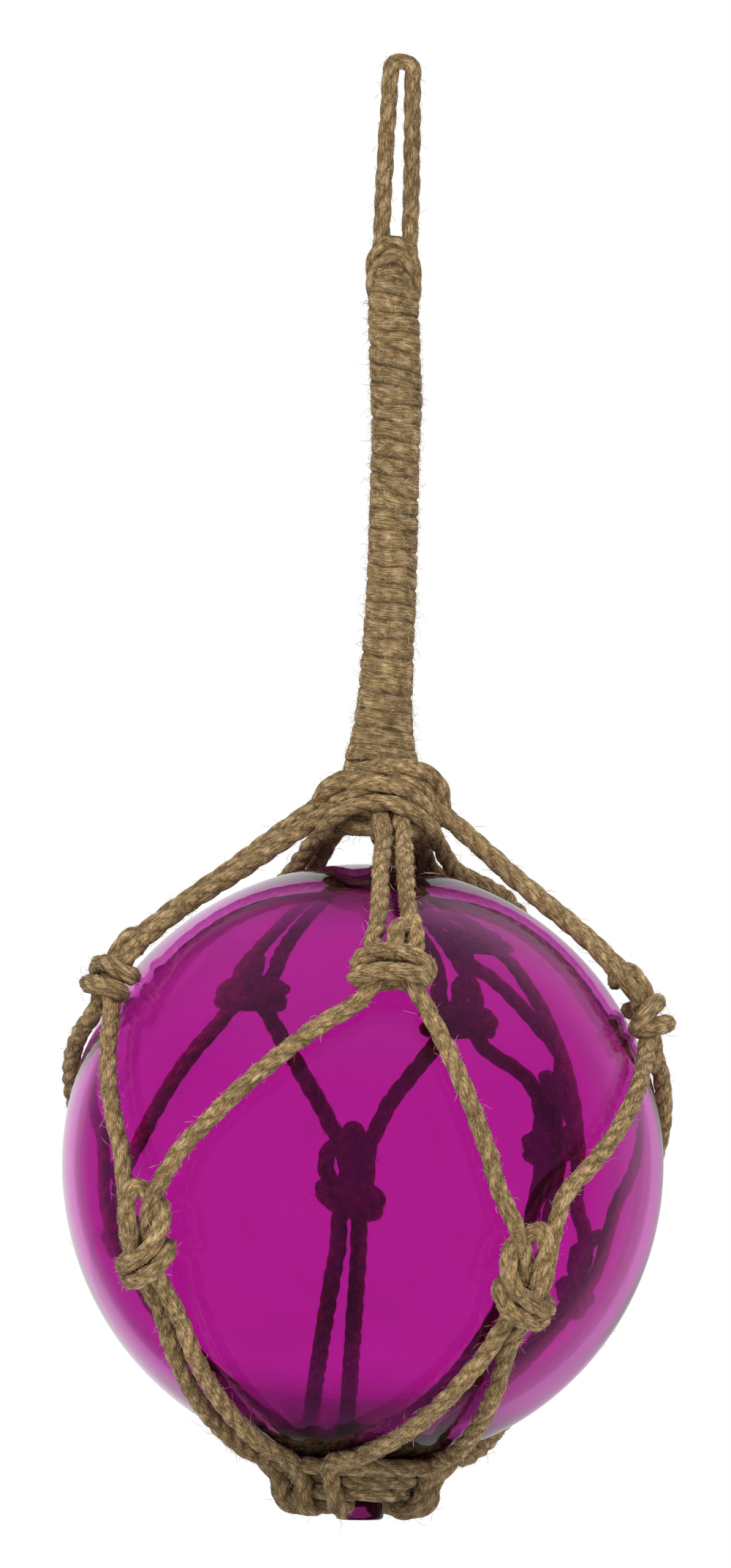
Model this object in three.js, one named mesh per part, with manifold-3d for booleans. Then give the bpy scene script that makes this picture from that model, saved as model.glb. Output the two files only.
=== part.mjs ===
// A glass float ball in a knotted rope net, hung by a bound rope handle that ends in a loop.
// Millimetres, +Z up. The origin is the inner top of the hanging loop, where a hook carries it.
import * as THREE from 'three';
import { mergeVertices } from 'three/addons/utils/BufferGeometryUtils.js';
import Module from 'manifold-3d';

// Glass
const ballDiameter = 200;
const sealDiameter = 16; // glass button left where the ball was sealed
const sealLength = 18; // below the ball's lowest point
const sealFillet = 5;
const sealEdge = 1; // bevel round the button's foot
const sealLean = 1.5; // how far the ball is turned in its net, with the button to the right, in degrees

// Rope
const cordDiameter = 5.6;
const wrapDiameter = 4.6; // the same cord, squeezed where a knot is pulled tight
const loopCordDiameter = 5.3;
const clearance = 0.3; // between pieces that touch
const standOff = 0.8; // between a cord and the glass
const strandGap = 0.4; // between the two strands of a doubled cord
const ringGap = 0.9; // between the turns on the base ring and the glass

// Hanging loop, handle and crown, one below the other
const loopLength = 61; // inner top to the top of the handle
const loopTopSpacing = 7.8; // between the two legs' centre lines
const loopFootSpacing = 10.2;
const handleLength = 167;
const handleTopDiameter = 17.2;
const handleFootDiameter = 20.5;
const handleBow = 2.4; // sideways, at mid length
const whippingTurns = 28;
const whippingDepth = 0.9; // from the top of a turn to the groove beside it
const whippingSlope = 0.12; // fall of a turn across the front, to the right
const crownHeight = 24;
const crownDiameter = 43;
const crownOffset = 1.2; // sideways from the plumb line
const crownGap = 12; // between the crown's underside and the top of the glass

// Base ring under the ball
const baseRingDiameter = 40; // across the ring cord's centre line
const baseRingOffset = 1.5;

// Net: six cords, each doubled. Azimuth 0 faces the front and grows to the right, in degrees.
const upperKnots = [
  { azimuth: 5, latitude: 39, crownAzimuth: 15 },
  { azimuth: 82, latitude: 30, crownAzimuth: 82 },
  { azimuth: 143, latitude: 54, crownAzimuth: 130 },
  { azimuth: 160, latitude: 30, crownAzimuth: 173 },
  { azimuth: 208, latitude: 35, crownAzimuth: 225 },
  { azimuth: 287, latitude: 34, crownAzimuth: 283 },
];
const lowerKnots = [
  { azimuth: 33, latitude: -18, hitches: [-12, 60] },
  { azimuth: 123, latitude: -22, hitches: [82, 109], bend: { azimuth: 126, latitude: -55 } },
  { azimuth: 142, latitude: 9, hitches: [135, 161] },
  { azimuth: 182, latitude: -3, hitches: [187, 213] },
  { azimuth: 236, latitude: -12, hitches: [239, 264], bend: { azimuth: 232, latitude: -55 } },
  { azimuth: 317, latitude: -13, hitches: [290, 317] },
]; // a bend is where the two strands turn towards their hitches, behind the ball's side
const upperKnotWidth = 27;
const upperKnotHeight = 16;
const lowerKnotWidth = 20;
const lowerKnotHeight = 32;
const knotStrandSpacing = 8; // between the two strands inside an upper knot
const knotTurns = {
  upperWrap: { along: 0, slope: -0.06 },
  highTurn: { along: 5.1, slope: 0.35 },
  lowTurn: { along: -7.7, slope: -0.1 },
};
const knotSplay = 1.25; // how much wider the strands stand where they enter or leave a knot
const knotDip = 1; // how much lower they lie there
const hitchReach = 5; // how far outside its turn on the ring a strand leaves the glass
const bightAngle = 45; // height of a bight on the ring's outside, in degrees
const bightGap = 0.6;
const bightStep = 18; // the most that a bight bends in one step, in degrees

// Crown: doubled arches of cord, with their turns in degrees
const archCount = 5;
const archOuterCourse = 0.55; // the lower cord of an arch stands out by this share of a cord
const archLowerCourse = 0.8; // and lies lower by this one
const archHalfTurn = 48; // from an arch's middle to its feet
const archShoulderTurn = 33;
const archSkew = 6;

// Worked out from the sizes above
const ballRadius = ballDiameter / 2;
const cordRadius = cordDiameter / 2;
const wrapRadius = wrapDiameter / 2;
const pairSpacing = cordDiameter + strandGap;
const cordHeight = standOff + cordRadius; // a cord's centre line above the glass
const knotHeight = standOff + wrapDiameter + clearance + cordRadius;
const crownTop = -loopLength - handleLength;
const crownUnderside = crownTop - crownHeight;
const ballCentre = crownUnderside - crownGap - ballRadius;
const crownRadius = crownDiameter / 2;
const ringRadius = baseRingDiameter / 2;
const hitchRadius = cordDiameter + clearance;
const ringLevel = -Math.sqrt(ballRadius ** 2 - (ringRadius - cordRadius) ** 2)
  - ringGap - cordRadius - hitchRadius;
const cordSides = 5;
const tubeTurn = 11; // the most that a cord bends round the ball in one step, in degrees

const wasm = await Module();
wasm.setup();

const degrees = THREE.MathUtils.degToRad;

// A closed three.js geometry as a solid that can be joined and cut
function solidFrom(geometry) {
  const bare = geometry.clone();
  bare.deleteAttribute('normal');
  bare.deleteAttribute('uv');
  const merged = mergeVertices(bare, 1e-4);
  const vertProperties = new Float32Array(merged.attributes.position.array);
  const triVerts = new Uint32Array(merged.index.array);
  return new wasm.Manifold(new wasm.Mesh({ numProp: 3, vertProperties, triVerts }));
}

function geometryFrom(solid) {
  const mesh = solid.getMesh();
  const geometry = new THREE.BufferGeometry();
  geometry.setAttribute('position', new THREE.BufferAttribute(mesh.vertProperties, 3));
  geometry.setIndex(new THREE.BufferAttribute(mesh.triVerts, 1));
  geometry.computeVertexNormals();
  return geometry;
}

function join(solids) {
  return solids.reduce((whole, solid) => whole.add(solid));
}

// A smooth curve that is cut into steps at its own points, so straight stretches take few
function routeThrough(points, closed) {
  const route = new THREE.CatmullRomCurve3(points, closed, 'centripetal');
  route.getUtoTmapping = (share) => share;
  return route;
}

// An open cord with flat ends, which has a step at each of its points
function cord(points, radius) {
  const extrudePath = routeThrough(points, false);
  const section = new THREE.Shape();
  for (let side = 0; side < cordSides; side++) {
    const turn = (side / cordSides) * 2 * Math.PI;
    const corner = [radius * Math.cos(turn), radius * Math.sin(turn)];
    if (side === 0) section.moveTo(...corner);
    else section.lineTo(...corner);
  }
  section.closePath();
  const steps = points.length - 1;
  return solidFrom(new THREE.ExtrudeGeometry(section, { extrudePath, steps, bevelEnabled: false }));
}

// A cord that closes on itself
function closedCord(points, radius, place = new THREE.Matrix4()) {
  const route = routeThrough(points, true);
  const tube = new THREE.TubeGeometry(route, points.length, radius, cordSides, true);
  return solidFrom(tube.applyMatrix4(place));
}

function aroundAxis(azimuth, radius, level, offset = 0) {
  const turn = degrees(azimuth);
  return new THREE.Vector3(offset + radius * Math.sin(turn), -radius * Math.cos(turn), level);
}

// The directions at a knot: across to the right, along to the top, and out from the glass
function knotDirections(knot) {
  const azimuth = degrees(knot.azimuth);
  const latitude = degrees(knot.latitude);
  const out = new THREE.Vector3(
    Math.cos(latitude) * Math.sin(azimuth),
    -Math.cos(latitude) * Math.cos(azimuth),
    Math.sin(latitude),
  );
  const right = new THREE.Vector3(Math.cos(azimuth), Math.sin(azimuth), 0);
  const up = new THREE.Vector3().crossVectors(out, right);
  return { right, up, out };
}

function byKnot(knot, across, along, height) {
  const { right, up, out } = knotDirections(knot);
  return out.multiplyScalar(ballRadius + height).addScaledVector(right, across).addScaledVector(up, along);
}

function knotPlace(knot, along) {
  const { right, up, out } = knotDirections(knot);
  return new THREE.Matrix4().makeBasis(right, up, out).setPosition(byKnot(knot, 0, along, knotHeight));
}

// Points between two places, pushed out where a straight line would run into the glass
function overGlass(from, to) {
  const points = [];
  const turn = THREE.MathUtils.radToDeg(from.angleTo(to));
  const straight = from.clone().add(to).length() / 2 > ballRadius + cordHeight;
  const count = straight ? 0 : Math.ceil(turn / tubeTurn) - 1;
  for (let i = 1; i <= count; i++) {
    const point = from.clone().lerp(to, i / (count + 1));
    if (point.length() < ballRadius + cordHeight) point.setLength(ballRadius + cordHeight);
    points.push(point);
  }
  return points;
}

// One strand from the crown through an upper and a lower knot to the base ring.
// Side 1 is the right-hand strand of its upper knot, and comes to its lower knot from the left.
function strandPoints(upper, lower, side, hitchAzimuth) {
  const half = upperKnotHeight / 2;
  const lowHalf = lowerKnotHeight / 2;
  const spread = (side * knotStrandSpacing) / 2;
  const lowSpread = (-side * pairSpacing) / 2;
  const sideways = aroundAxis(upper.crownAzimuth + 90, (side * pairSpacing) / 2, 0);
  const startRadius = crownRadius - 2 * cordDiameter;
  const startLevel = crownUnderside - ballCentre + cordDiameter;
  const start = aroundAxis(upper.crownAzimuth, startRadius, startLevel, crownOffset);
  start.add(sideways);
  const endHeight = knotHeight - knotDip;
  const knotTop = byKnot(upper, (side * pairSpacing) / 2, half + cordDiameter, knotHeight);
  const knotFoot = byKnot(upper, spread * knotSplay, -half, endHeight);
  const lowTop = byKnot(lower, lowSpread * knotSplay, lowHalf, endHeight);
  const lowFoot = byKnot(lower, lowSpread * knotSplay, -lowHalf, endHeight);
  const arrival = aroundAxis(hitchAzimuth, ringRadius + hitchRadius + hitchReach, 0, baseRingOffset);
  arrival.z = -Math.sqrt((ballRadius + cordHeight) ** 2 - arrival.lengthSq());
  const bend = lower.bend ? [byKnot(lower.bend, lowSpread, 0, cordHeight)] : [];
  const descent = [lowFoot, ...bend, arrival];
  const overBall = descent.slice(1).flatMap((place, i) => [...overGlass(descent[i], place), place]);
  return [
    start,
    ...overGlass(start, knotTop),
    knotTop,
    byKnot(upper, spread, 0, knotHeight),
    knotFoot,
    ...overGlass(knotFoot, lowTop),
    lowTop,
    byKnot(lower, lowSpread, 0, knotHeight),
    lowFoot,
    ...overBall,
    aroundAxis(hitchAzimuth, ringRadius + hitchRadius, ringLevel + cordRadius, baseRingOffset),
  ];
}

// A turn of cord round both strands of a knot, as high as one cord or more.
// It bites into the strand or strands of its own cord.
function knotTurn(knot, width, height, along, slope, bites) {
  const points = [];
  const count = 6;
  const halfWidth = width / 2 - wrapRadius;
  const reach = cordRadius + clearance + wrapRadius;
  const squareness = 0.6;
  for (let i = 0; i < count; i++) {
    const turn = (i / count) * 2 * Math.PI;
    const across = halfWidth * Math.cos(turn);
    const bite = across < 0 ? bites.left : bites.right;
    const bulge = Math.sign(Math.sin(turn)) * Math.abs(Math.sin(turn)) ** squareness;
    const outward = bulge * (reach - bite);
    points.push(new THREE.Vector3(across, slope * across, outward));
  }
  const turnPlace = new THREE.Matrix4().makeScale(1, height / wrapDiameter, 1);
  turnPlace.premultiply(knotPlace(knot, along));
  return closedCord(points, wrapRadius, turnPlace);
}

// A turn of cord round the base ring
function ringHitch(azimuth) {
  const points = [];
  const count = 6;
  const corner = hitchRadius / Math.cos(Math.PI / count);
  for (let i = 0; i < count; i++) {
    const turn = (i / count) * 2 * Math.PI;
    const radius = ringRadius + corner * Math.cos(turn);
    points.push(aroundAxis(azimuth, radius, ringLevel + corner * Math.sin(turn), baseRingOffset));
  }
  return closedCord(points, cordRadius);
}

// The bight that joins a doubled cord's two hitches, high on the ring's outside
function hitchBight([first, last]) {
  const points = [];
  const lift = degrees(bightAngle);
  const reach = hitchRadius + bightGap;
  const radius = ringRadius + reach * Math.cos(lift);
  const level = ringLevel + reach * Math.sin(lift);
  const count = Math.ceil((last - first) / bightStep);
  for (let i = 0; i <= count; i++) {
    const azimuth = first + ((last - first) * i) / count;
    points.push(aroundAxis(azimuth, radius, level, baseRingOffset));
  }
  return cord(points, cordRadius);
}

// The ball is closed glass, so it is one solid of revolution with its seal button below
function glassBall() {
  const sealRadius = sealDiameter / 2;
  const profile = [new THREE.Vector2(0, ballRadius)];
  const bands = 15;
  const joinRadius = sealRadius + sealFillet;
  const lastTurn = Math.PI - Math.asin(joinRadius / ballRadius);
  for (let i = 1; i <= bands; i++) {
    const turn = (lastTurn * i) / bands;
    profile.push(new THREE.Vector2(ballRadius * Math.sin(turn), ballRadius * Math.cos(turn)));
  }
  const neckTop = -Math.sqrt(ballRadius ** 2 - sealRadius ** 2) - sealFillet;
  const filletInset = sealFillet * (1 - Math.SQRT1_2);
  profile.push(new THREE.Vector2(sealRadius + filletInset, neckTop + filletInset));
  profile.push(new THREE.Vector2(sealRadius, neckTop));
  profile.push(new THREE.Vector2(sealRadius, -ballRadius - sealLength + sealEdge));
  profile.push(new THREE.Vector2(sealRadius - sealEdge, -ballRadius - sealLength));
  profile.push(new THREE.Vector2(0, -ballRadius - sealLength));
  const turned = new THREE.LatheGeometry(profile.reverse(), 32);
  turned.rotateX(Math.PI / 2);
  turned.rotateY(-degrees(sealLean));
  return solidFrom(turned);
}

function baseRing() {
  const torus = new THREE.TorusGeometry(ringRadius, cordRadius, cordSides + 1, 18);
  torus.translate(baseRingOffset, 0, ringLevel);
  return solidFrom(torus);
}

// How far the handle's centre line stands to the right, at a share of its length from the top
function handleCentre(share) {
  return crownOffset * share + handleBow * Math.sin(Math.PI * share);
}

// The handle is a stack of tight turns over the cords' ends, seen only as its outside
function handleWhipping() {
  const profile = [new THREE.Vector2(0, -handleLength)];
  const pitch = handleLength / whippingTurns;
  for (let turn = whippingTurns - 1; turn >= 0; turn--) {
    const share = (turn + 0.5) / whippingTurns;
    const flare = share ** 3 * (handleFootDiameter - handleTopDiameter);
    const outer = (handleTopDiameter + flare) / 2;
    profile.push(new THREE.Vector2(outer - whippingDepth, -(turn + 1) * pitch));
    profile.push(new THREE.Vector2(outer, -(turn + 0.5) * pitch));
  }
  profile.push(new THREE.Vector2(handleTopDiameter / 2 - whippingDepth, 0));
  profile.push(new THREE.Vector2(0, 0));
  const turned = new THREE.LatheGeometry(profile, 8);
  turned.rotateX(Math.PI / 2);
  const places = turned.attributes.position;
  const endFade = 0.3; // the turns' slope fades out at both ends
  for (let i = 0; i < places.count; i++) {
    const share = THREE.MathUtils.clamp(-places.getZ(i) / handleLength, 0, 1);
    const fade = Math.sin(Math.PI * share) ** endFade;
    places.setZ(i, places.getZ(i) - whippingSlope * places.getX(i) * fade);
    places.setX(i, places.getX(i) + handleCentre(share));
  }
  const front = -handleTopDiameter / 2 + cordRadius;
  const edge = handleTopDiameter / 2 - cordRadius / 2;
  const bight = cord([
    new THREE.Vector3(-edge, front / 2, -2.6 * cordDiameter),
    new THREE.Vector3(-edge - 0.5, front, -cordDiameter),
    new THREE.Vector3(-edge / 2, front - 1, cordRadius / 2),
    new THREE.Vector3(edge / 3, front - 1, cordRadius / 3),
    new THREE.Vector3(edge - 0.6, front, -cordRadius),
    new THREE.Vector3(edge, front / 2, -2 * cordDiameter),
  ], cordRadius);
  return solidFrom(turned).add(bight);
}

function hangingLoop() {
  const half = loopTopSpacing / 2;
  const foot = -loopLength + clearance;
  const archCentre = loopCordDiameter / 2 - half;
  const rightLeg = [];
  const middle = (archCentre + foot) / 2;
  rightLeg.push(new THREE.Vector3(loopFootSpacing / 2, 0, foot));
  rightLeg.push(new THREE.Vector3((loopFootSpacing + half) / 3, 0, middle));
  const arch = [];
  for (let i = 0; i <= 6; i++) {
    const turn = (i / 6) * Math.PI;
    arch.push(new THREE.Vector3(half * Math.cos(turn), 0, archCentre + half * Math.sin(turn)));
  }
  const leftLeg = rightLeg.map((point) => new THREE.Vector3(-point.x, 0, point.z)).reverse();
  return cord([...rightLeg, ...arch, ...leftLeg], loopCordDiameter / 2);
}

// The crown is a flared body under six doubled arches of cord that lap over each other
function crownKnot() {
  const handleRadius = handleFootDiameter / 2 - whippingDepth;
  const rim = crownRadius - cordRadius / 2;
  const profile = [
    new THREE.Vector2(0, -crownHeight),
    new THREE.Vector2(rim, -crownHeight),
    new THREE.Vector2(rim, -crownHeight + cordRadius),
    new THREE.Vector2(crownRadius - cordDiameter, -crownHeight / 2),
    new THREE.Vector2(handleRadius, -clearance - cordRadius),
    new THREE.Vector2(handleRadius, -clearance),
    new THREE.Vector2(0, -clearance),
  ];
  const body = new THREE.LatheGeometry(profile, 14);
  body.rotateX(Math.PI / 2);
  const solids = [solidFrom(body)];
  const inner = crownRadius - cordDiameter;
  const foot = -crownHeight + cordRadius;
  for (let arch = 0; arch < archCount; arch++) {
    const middle = (arch / archCount) * 360;
    const high = arch % 2 === 0 ? 0 : cordRadius;
    for (const course of [0, 1]) {
      const out = course * archOuterCourse * cordDiameter;
      const apex = high - cordDiameter - course * archLowerCourse * cordDiameter;
      const shoulder = (foot + apex) / 2;
      solids.push(cord([
        aroundAxis(middle - archHalfTurn, inner, foot),
        aroundAxis(middle - archShoulderTurn, inner + out / 2, shoulder),
        aroundAxis(middle - archSkew, inner - wrapRadius + out, apex),
        aroundAxis(middle + archShoulderTurn, inner + out, shoulder),
        aroundAxis(middle + archHalfTurn, crownRadius - cordRadius, foot),
      ], cordRadius));
    }
  }
  return join(solids).translate([crownOffset, 0, 0]);
}

// Everything above the crown's underside is the crown's own room
function aboveCrownUnderside() {
  const room = 4 * crownDiameter;
  const block = new THREE.BoxGeometry(room, room, room);
  block.translate(0, 0, crownUnderside - ballCentre - clearance + room / 2);
  return solidFrom(block);
}

const knotCount = upperKnots.length;

// The two strands of a net cord, as solids of a given radius
function netStrands(index, radius) {
  const lower = lowerKnots[index];
  const leftUpper = upperKnots[index];
  const rightUpper = upperKnots[(index + 1) % knotCount];
  const fromLeft = cord(strandPoints(leftUpper, lower, 1, lower.hitches[0]), radius);
  const fromRight = cord(strandPoints(rightUpper, lower, -1, lower.hitches[1]), radius);
  return { fromLeft, fromRight };
}

function netCord(index) {
  const lower = lowerKnots[index];
  const own = netStrands(index, cordRadius);
  const shared = upperKnots[(index + 1) % knotCount];
  const neighbour = netStrands((index + 1) % knotCount, cordRadius + clearance);
  const bite = cordRadius / 3;
  const oneSide = { left: bite, right: 0 };
  const bothSides = { left: bite, right: bite };
  const { upperWrap, highTurn, lowTurn } = knotTurns;
  const whole = join([
    own.fromLeft,
    own.fromRight,
    knotTurn(shared, upperKnotWidth, 2 * wrapDiameter, upperWrap.along, upperWrap.slope, oneSide),
    knotTurn(lower, lowerKnotWidth, cordDiameter, highTurn.along, highTurn.slope, bothSides),
    knotTurn(lower, lowerKnotWidth, cordDiameter, lowTurn.along, lowTurn.slope, bothSides),
    ringHitch(lower.hitches[0]),
    ringHitch(lower.hitches[1]),
    hitchBight(lower.hitches),
  ]);
  return whole.subtract(neighbour.fromLeft).subtract(aboveCrownUnderside());
}

const glass = new THREE.MeshStandardMaterial({
  color: 0xa81e8c,
  roughness: 0.04,
  metalness: 0,
  transparent: true,
  opacity: 0.45,
});
const jute = new THREE.MeshStandardMaterial({ color: 0xa58c64, roughness: 0.95, metalness: 0 });

function piece(name, solid, material) {
  const mesh = new THREE.Mesh(geometryFrom(solid), material);
  mesh.name = name;
  return mesh;
}

// The ball, its net and the base ring share the ball's centre
const nettedBall = new THREE.Group();
nettedBall.position.z = ballCentre;
nettedBall.add(piece('glass_ball', glassBall(), glass));
nettedBall.add(piece('base_ring', baseRing(), jute));
for (let index = 0; index < knotCount; index++) {
  nettedBall.add(piece(`net_cord_${index + 1}`, netCord(index), jute));
}

const handle = new THREE.Group();
handle.position.z = -loopLength;
handle.add(piece('handle_whipping', handleWhipping(), jute));

const crown = new THREE.Group();
crown.position.z = crownTop;
crown.add(piece('crown_knot', crownKnot(), jute));

const floatBall = new THREE.Group();
floatBall.add(nettedBall, handle, crown);
floatBall.add(piece('hanging_loop', hangingLoop(), jute));

export default floatBall;
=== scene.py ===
# Glass float ball in a jute net, hanging by its loop from a bound rope handle
import math
import random

import bmesh
import bpy
import numpy as np
from mathutils import Matrix, Vector, noise
from mathutils.geometry import interpolate_bezier


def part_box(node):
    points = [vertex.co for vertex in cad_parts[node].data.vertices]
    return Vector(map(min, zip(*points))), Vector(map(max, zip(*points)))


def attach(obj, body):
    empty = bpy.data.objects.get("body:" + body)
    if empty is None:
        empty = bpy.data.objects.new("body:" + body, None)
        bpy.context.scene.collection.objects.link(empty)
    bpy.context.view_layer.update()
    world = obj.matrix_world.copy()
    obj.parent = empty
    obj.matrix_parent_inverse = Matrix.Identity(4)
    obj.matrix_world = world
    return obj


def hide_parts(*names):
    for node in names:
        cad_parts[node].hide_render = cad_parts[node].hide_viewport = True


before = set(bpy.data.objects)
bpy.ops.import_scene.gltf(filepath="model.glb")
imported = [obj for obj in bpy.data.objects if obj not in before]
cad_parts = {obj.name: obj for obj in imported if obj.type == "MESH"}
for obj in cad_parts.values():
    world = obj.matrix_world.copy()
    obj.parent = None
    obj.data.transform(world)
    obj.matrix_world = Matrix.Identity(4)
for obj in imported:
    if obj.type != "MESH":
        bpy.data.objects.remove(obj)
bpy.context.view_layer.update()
mm = 0.001
stage = bpy.context.scene
print("frame loaded")

# Places and sizes that the frame gives
ballLow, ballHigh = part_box("glass_ball")
ringLow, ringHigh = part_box("base_ring")
crownLow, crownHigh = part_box("crown_knot")
ballRadius = (ballHigh.x - ballLow.x) / 2
ballCentre = Vector(((ballLow.x + ballHigh.x) / 2, (ballLow.y + ballHigh.y) / 2, ballHigh.z - ballRadius))
ringCentre = (ringLow + ringHigh) / 2
crownCentre = Vector(((crownLow.x + crownHigh.x) / 2, 0, (crownLow.z + crownHigh.z) / 2))


# Camera. A pixel of the photograph is one step of photoScale on the plumb plane.
photo = {
    "width": 1000,
    "height": 2146,
    "ballX": 496.3,
    "ballY": 1594.0,
    "ballRadius": 411.5,
    "loopX": 550.0,
    "loopY": 96.0,
    "distance": 6.0,
}


def makeCamera():
    scale = ballRadius / photo["ballRadius"]
    lean = math.atan2(photo["loopX"] - photo["ballX"], photo["ballY"] - photo["loopY"])
    right = Vector((math.cos(lean), 0, math.sin(lean)))
    up = Vector((-math.sin(lean), 0, math.cos(lean)))
    acrossPixels = photo["width"] / 2 - photo["ballX"]
    upPixels = photo["ballY"] - photo["height"] / 2
    aim = ballCentre + right * (acrossPixels * scale) + up * (upPixels * scale)
    back = right.cross(up)
    data = bpy.data.cameras.new("photo_camera")
    data.sensor_width = 36
    data.lens = data.sensor_width * photo["distance"] / (photo["height"] * scale)
    data.clip_end = 40
    camera = bpy.data.objects.new("photo_camera", data)
    turn = Matrix((right, up, back)).transposed().to_4x4()
    camera.matrix_world = Matrix.Translation(aim + back * photo["distance"]) @ turn
    stage.collection.objects.link(camera)
    stage.camera = camera


makeCamera()
print("camera set")


# Shader sockets that add, multiply and mix as Python values do
class Sock:
    def __init__(self, maker, link):
        self.maker = maker
        self.link = link

    def math(self, operation, other, flipped=False):
        pair = (other, self) if flipped else (self, other)
        return self.maker.node("ShaderNodeMath", {"operation": operation}, dict(enumerate(pair)))

    def __add__(self, other):
        return self.math("ADD", other)

    __radd__ = __add__

    def __mul__(self, other):
        return self.math("MULTIPLY", other)

    __rmul__ = __mul__

    def __sub__(self, other):
        return self.math("SUBTRACT", other)

    def __rsub__(self, other):
        return self.math("SUBTRACT", other, True)


class Graph:
    def __init__(self, tree):
        self.nodes = tree.nodes
        self.links = tree.links

    def node(self, kind, settings, inputs, output=0):
        made = self.nodes.new(kind)
        for key, value in settings.items():
            if key == "stops":
                self.setStops(made, value)
            else:
                setattr(made, key, value)
        for key, value in inputs.items():
            self.feed(made.inputs[key], value)
        return Sock(self, made.outputs[output]) if output is not None else None

    def setStops(self, ramp, stops):
        elements = ramp.color_ramp.elements
        while len(elements) < len(stops):
            elements.new(0.5)
        for element, (place, colour) in zip(elements, stops):
            element.position = place
            element.color = (*colour, 1)

    def feed(self, socket, value):
        if isinstance(value, Sock):
            self.links.new(value.link, socket)
        else:
            socket.default_value = value

    def range(self, value, low, high, first=0.0, last=1.0):
        inputs = {"Value": value, "From Min": low, "From Max": high, "To Min": first, "To Max": last}
        return self.node("ShaderNodeMapRange", {"interpolation_type": "SMOOTHSTEP"}, inputs)

    def noise(self, vector, scale=1.0, detail=2.0, roughness=0.5):
        inputs = {"Vector": vector, "Scale": scale, "Detail": detail, "Roughness": roughness}
        return self.node("ShaderNodeTexNoise", {}, inputs)

    def scaled(self, vector, factors):
        return self.node("ShaderNodeVectorMath", {"operation": "MULTIPLY"}, {0: vector, 1: factors})

    def mixColour(self, factor, first, second):
        return self.node("ShaderNodeMix", {"data_type": "RGBA"}, {0: factor, 6: first, 7: second}, 2)


class Finish(Graph):
    def __init__(self, name):
        self.material = bpy.data.materials.new(name)
        self.material.use_nodes = True
        super().__init__(self.material.node_tree)
        self.shader = self.nodes["Principled BSDF"]

    def set(self, **values):
        for key, value in values.items():
            self.feed(self.shader.inputs[key.replace("_", " ")], value)
        return self.material


def opaque(colour):
    return (*colour, 1.0)


# Jute: dry plant fibre in a soft laid cord. Every cord carries its own coordinates along and across
# the fibres as "lay", and "open" is 0 down in a groove and 1 on the outside.
jute = {
    "stops": [
        (0.0, (0.095, 0.056, 0.021)),
        (0.30, (0.240, 0.152, 0.066)),
        (0.58, (0.350, 0.232, 0.106)),
        (1.0, (0.62, 0.455, 0.250)),
    ],
    # painted shade: a darker brown laid into the grooves between plies
    "groove": (0.070, 0.042, 0.017),
    "fleck": (0.095, 0.062, 0.028),
    # painted shade: the cords are darker towards the ring under the ball
    "baseShadeTone": 0.66,
    "baseShadeAbove": 22.0 * mm,
    "fibreLength": 5.0 * mm,
    "fibreWidth": 0.42 * mm,
    "threadLength": 2.8 * mm,
    "threadWidth": 0.17 * mm,
    "streakShare": 0.56,
    "threadShare": 0.44,
    "patchScale": 95.0,
    "patchTones": (0.80, 1.20),
    "mottleScale": 330.0,
    "mottleShare": 0.35,
    "grooveShadeShare": 0.85,
    "fleckScales": (420.0, 1500.0, 1500.0),
    "fleckShare": 0.70,
    "relief": 0.45 * mm,
    "looseDark": (0.36, 0.25, 0.12),
    "loosePale": (0.80, 0.63, 0.38),
    "looseScale": 260.0,
}


def juteFinish(name, tone):
    finish = Finish(name)
    lay = finish.node("ShaderNodeAttribute", {"attribute_name": "lay"}, {}, 1)
    outside = finish.node("ShaderNodeAttribute", {"attribute_name": "open"}, {}, 2)
    place = finish.node("ShaderNodeTexCoord", {}, {}, 3)
    across = 1 / jute["fibreWidth"]
    fine = 1 / jute["threadWidth"]
    dark, pale = jute["patchTones"]
    streaks = finish.noise(finish.scaled(lay, (1 / jute["fibreLength"], across, across)), 1.0, 3.0, 0.6)
    threads = finish.noise(finish.scaled(lay, (1 / jute["threadLength"], fine, fine)), 1.0, 2.0, 0.6)
    dots = finish.noise(finish.scaled(lay, jute["fleckScales"]), 1.0, 1.0, 0.5)
    patches = finish.noise(place, jute["patchScale"], 3.0)
    mottle = finish.noise(place, jute["mottleScale"], 2.0)
    fibre = streaks * jute["streakShare"] + threads * jute["threadShare"]
    spread = finish.range(fibre + (mottle - 0.5) * jute["mottleShare"], 0.33, 0.68)
    body = finish.node("ShaderNodeValToRGB", {"stops": jute["stops"]}, {0: spread})
    shade = finish.range(patches, 0.3, 0.7, dark * tone, pale * tone)
    level = finish.node("ShaderNodeSeparateXYZ", {}, {0: place}, "Z")
    # painted shade: darker towards the ring under the ball, where shade falls
    baseShade = finish.range(level, ringLow.z, ringHigh.z + jute["baseShadeAbove"], jute["baseShadeTone"], 1.0)
    toned = finish.node("ShaderNodeVectorMath", {"operation": "SCALE"}, {0: body, 3: shade * baseShade})
    # painted shade in the grooves between plies, made patchy by the mottle
    grooveShadeMask = (1 - outside) * finish.range(mottle, 0.28, 0.62, 0.35, 1.0)
    grooveShaded = finish.mixColour(grooveShadeMask * jute["grooveShadeShare"], toned, opaque(jute["groove"]))
    flecked = finish.range(dots, 0.58, 0.70, 0.0, jute["fleckShare"])
    colour = finish.mixColour(flecked, grooveShaded, opaque(jute["fleck"]))
    height = fibre + outside * 0.35 - flecked * 0.3
    bump = finish.node("ShaderNodeBump", {}, {"Height": height, "Strength": 0.9, "Distance": jute["relief"]})
    rough = finish.range(fibre, 0.3, 0.7, 1.0, 0.75)
    return finish.set(
        Base_Color=colour, Roughness=rough, Normal=bump, Sheen_Weight=0.08, Sheen_Roughness=0.5,
        Specular_IOR_Level=0.15,
    )


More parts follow.
